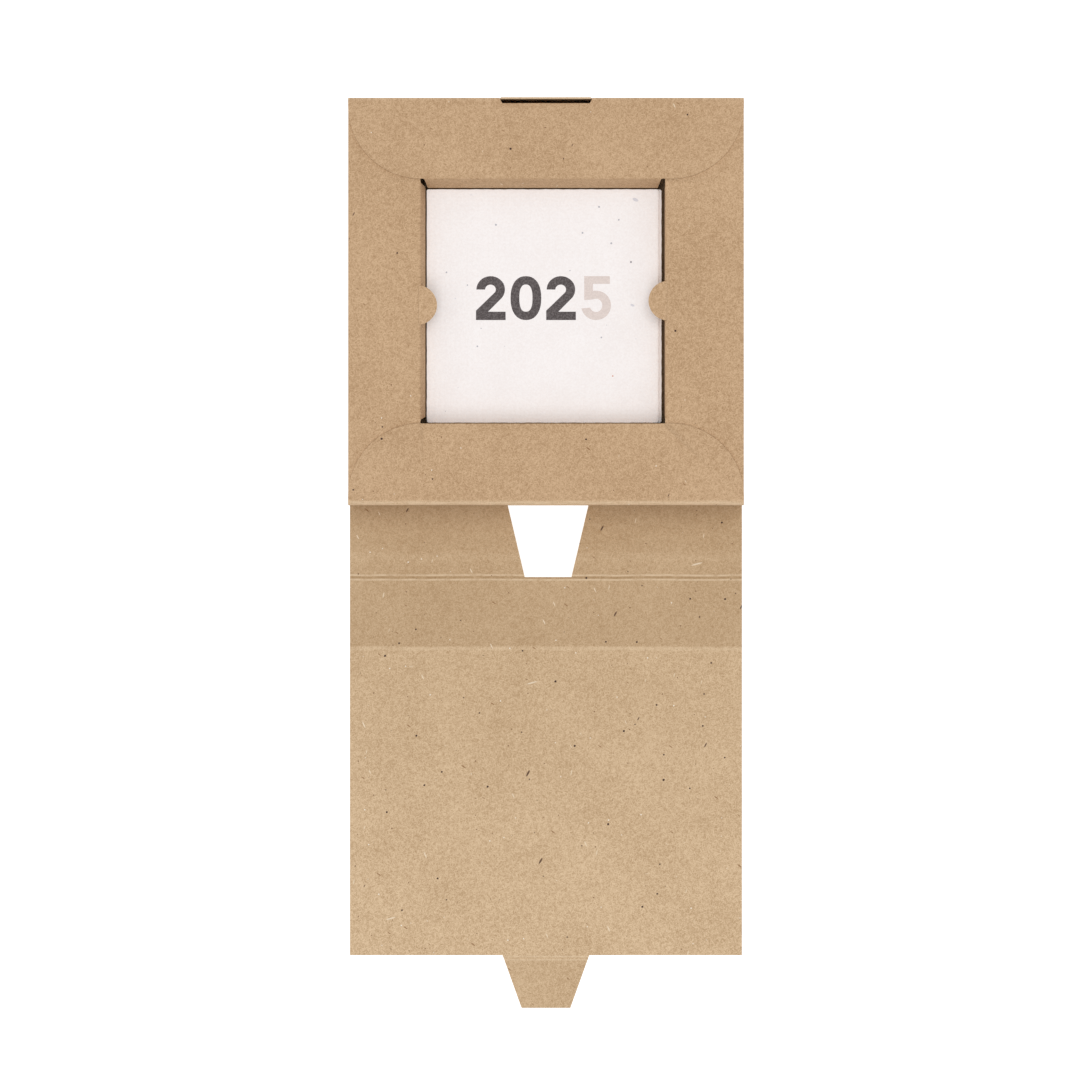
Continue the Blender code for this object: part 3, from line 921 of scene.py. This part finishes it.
TAB_BASE, TAB_TIP = 12.15 * MM, 6.85 * MM
TAB_ROWS = (
    (0.25, 0.0), (0.1, 0.08), (-0.1, 0.10), (-0.3, -0.04), (-0.5, -0.06), (-0.7, 0.04),
    (-0.95, 0.06), (-1.3, 0),
)
tip_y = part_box("closing_tab")[0].y
corners = ((-TAB_BASE, main_end), (-TAB_TIP, tip_y), (TAB_TIP, tip_y), (TAB_BASE, main_end))
cover_piece("closing_tab_sheet", ["closing_tab"], corners, "tab_fold", TAB_ROWS)

# %% [markdown]
# ## The cards
# Handmade cards are cut by a blunt knife, so their edges wander by a tenth of a millimetre. Each
# card is a blank cut into a grid, whose outer points are moved in by two waves with the card's own
# phase, so that no two edges line up. Then it is thickened and its edges are rounded.

# %% Cards
CARD_MARGIN, CARD_CORNER, CARD_WAVER, CARD_GRID = 0.06 * MM, 0.6 * MM, 0.055 * MM, 40


def rough_card(name, node, seed):
    low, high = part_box(node)
    cut_low = (low.x + CARD_MARGIN, low.y + CARD_MARGIN)
    piece = blank(name, cut_low, (high.x - CARD_MARGIN, high.y - CARD_MARGIN), high.z)
    choose(piece, lambda co: True, "VERT")
    bpy.ops.mesh.bevel(offset=CARD_CORNER, segments=4, affect="VERTICES")
    leave(piece)
    lines = range(CARD_GRID)
    rows(piece, [low.y + (high.y - low.y) * (i + 0.5) / CARD_GRID for i in lines])
    rows(piece, [low.x + (high.x - low.x) * (i + 0.5) / CARD_GRID for i in lines], (1, 0, 0))
    middle = (low + high) / 2
    reach = (high - low) / 2
    for vertex in piece.data.vertices:
        out = Vector(((vertex.co.x - middle.x) / reach.x, (vertex.co.y - middle.y) / reach.y))
        for axis, other in ((0, 1), (1, 0)):
            if abs(out[axis]) > 0.985:
                along = vertex.co[other] / MM
                waver = 0.6 * math.sin(1.9 * along + seed) + 0.4 * math.sin(0.63 * along + 2 * seed)
                vertex.co[axis] -= math.copysign(CARD_WAVER * (1 + waver), out[axis])
    piece.data.materials.clear()
    piece.data.materials.append(CARD)
    body = piece.modifiers.new("thickness", "SOLIDIFY")
    body.thickness, body.offset = high.z - low.z, -1
    apply(piece, body)
    edge = piece.modifiers.new("soft edges", "BEVEL")
    edge.width, edge.segments, edge.limit_method = 0.12 * MM, 3, "ANGLE"
    edge.angle_limit = math.radians(50)
    apply(piece, edge)
    bpy.ops.object.shade_smooth_by_angle(angle=math.radians(35))
    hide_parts(node)
    return piece


CARD_NODES = sorted(name for name in frame["nodes"] if name.startswith("month_card"))
for index, node in enumerate(CARD_NODES):
    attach(rough_card(f"{node}_sheet", node, 0.7 * index), "box")
top_card = rough_card("year_card_sheet", "cover_card", 11.3)
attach(top_card, "top_card")
print("cards:", len(CARD_NODES) + 1)

# %% [markdown]
# ## The year
# The figures are printed, so they are a film a few hundredths of a millimetre thick on the card's
# face. The last one is in the paler ink. A text object would bring a typeface's own shapes, so each
# figure is drawn from straight strokes and arcs of an ellipse, in shares of its height.

# %% Figures
FIGURE_HEIGHT, FIGURE_PITCH = 12.25 * MM, 9.80 * MM
card_low, card_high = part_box("cover_card")
card_middle = (card_low + card_high) / 2
first_x = card_middle.x + 0.2 * MM - 1.5 * FIGURE_PITCH
base_y = card_middle.y + 2.2 * MM - FIGURE_HEIGHT / 2
FIGURE_WIDTH = 0.675
INK_GAP, INK_THICKNESS = 0.002 * MM, 0.02 * MM


def ellipse(centre, radii, start, end, steps=20, power=1.0):
    """Points on an ellipse between two angles. A power under 1 squares its shoulders."""
    points = []
    for step in range(steps + 1):
        turn = math.radians(start + (end - start) * step / steps)
        c, s = math.cos(turn), math.sin(turn)
        reach = [math.copysign(abs(part) ** power, part) * r for part, r in zip((c, s), radii)]
        points.append((centre[0] + reach[0], centre[1] + reach[1]))
    return points


TWO = (
    ellipse((0.335, 0.695), (0.325, 0.305), 180, -38)
    + [(0.275, 0.19), (0.675, 0.19), (0.675, 0.0), (0.0, 0.0), (0.0, 0.215)]
    + ellipse((0.33, 0.695), (0.122, 0.112), -42, 180)
)
FIVE = (
    [(0.065, 1.0), (0.65, 1.0), (0.65, 0.825), (0.265, 0.825), (0.265, 0.66)]
    + ellipse((0.335, 0.335), (0.34, 0.335), 96, -168, 28)
    + ellipse((0.335, 0.335), (0.142, 0.152), -160, 118, 24)
    + [(0.065, 0.455)]
)
ZERO = ellipse((0.3375, 0.5), (0.35, 0.50), 0, 351, 39, 0.88)
ZERO_EYE = ellipse((0.3375, 0.5), (0.150, 0.31), 0, 351, 39, 0.80)


def film(name, outline, x, low, high):
    """A thin block with a figure's outline, at its place in the row."""
    left = x - FIGURE_WIDTH * FIGURE_HEIGHT / 2
    points = [(left + u * FIGURE_HEIGHT, base_y + v * FIGURE_HEIGHT) for u, v in outline]
    return prism(name, points, low, high)


def figure(name, letter, x, ink):
    low = card_high.z + INK_GAP
    outline = {"2": TWO, "0": ZERO, "5": FIVE}[letter]
    piece = film(name, outline, x, low, low + INK_THICKNESS)
    piece.data.name = name
    if letter == "0":
        cut(piece, film("eye", ZERO_EYE, x, low - 0.1 * MM, low + 0.1 * MM))
    piece.data.materials.clear()
    piece.data.materials.append(ink)
    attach(piece, "top_card")


for place, letter in enumerate("2025"):
    ink = PALE_INK if place == 3 else DARK_INK
    figure(f"year_figure_{place + 1}", letter, first_x + place * FIGURE_PITCH, ink)

# %% [markdown]
# ## Light and ground
# The calendar is lit as a catalogue page is: an even white all round, and a broad soft light
# from the foot end, which throws the foot flap's shadow on the card and gives the folds a line.
# The pale floor is lower than the calendar by more than the cover's length, so that the cover can
# hang or fold back without going through it.

# %% Studio
FLOOR_DROP = 0.16
bpy.ops.object.select_all(action="DESELECT")
bpy.ops.mesh.primitive_plane_add(size=6, location=(0, 0, -FLOOR_DROP))
floor = bpy.context.active_object
floor.name = "pale_floor"
floor_bench = Bench("pale floor")
floor_place = floor_bench.node("ShaderNodeTexCoord", out="Object")
floor_tone = floor_bench.noise(floor_place, 3.0, 2.0, 0.5)
floor_colour = floor_bench.mix(floor_tone, linear(252, 252, 252), linear(255, 255, 255))
floor_bench.shader.inputs["Emission Color"].default_value = (1, 1, 1, 1)
floor_bench.shader.inputs["Emission Strength"].default_value = 0.50
floor.data.materials.append(floor_bench.done(floor_colour, 0.9, ()))

world = bpy.data.worlds.new("white studio")
world.use_nodes = True
world.node_tree.nodes["Background"].inputs["Color"].default_value = (1, 1, 1, 1)
world.node_tree.nodes["Background"].inputs["Strength"].default_value = 0.60
bpy.context.scene.world = world


def soft_light(name, place, aim, size, power):
    data = bpy.data.lights.new(name, "AREA")
    data.shape, data.size, data.energy = "SQUARE", size, power
    light = bpy.data.objects.new(name, data)
    light.location = place
    light.rotation_euler = (Vector(aim) - Vector(place)).to_track_quat("-Z", "Y").to_euler()
    bpy.context.scene.collection.objects.link(light)


soft_light("foot_softbox", (-0.15, -0.75, 1.5), (0, 0, 0), 0.9, 5.6)
soft_light("overhead_softbox", (0.1, 0.4, 1.8), (0, 0, 0), 1.2, 9.6)
bpy.context.scene.view_settings.view_transform = "Standard"
bpy.context.scene.view_settings.look = "None"
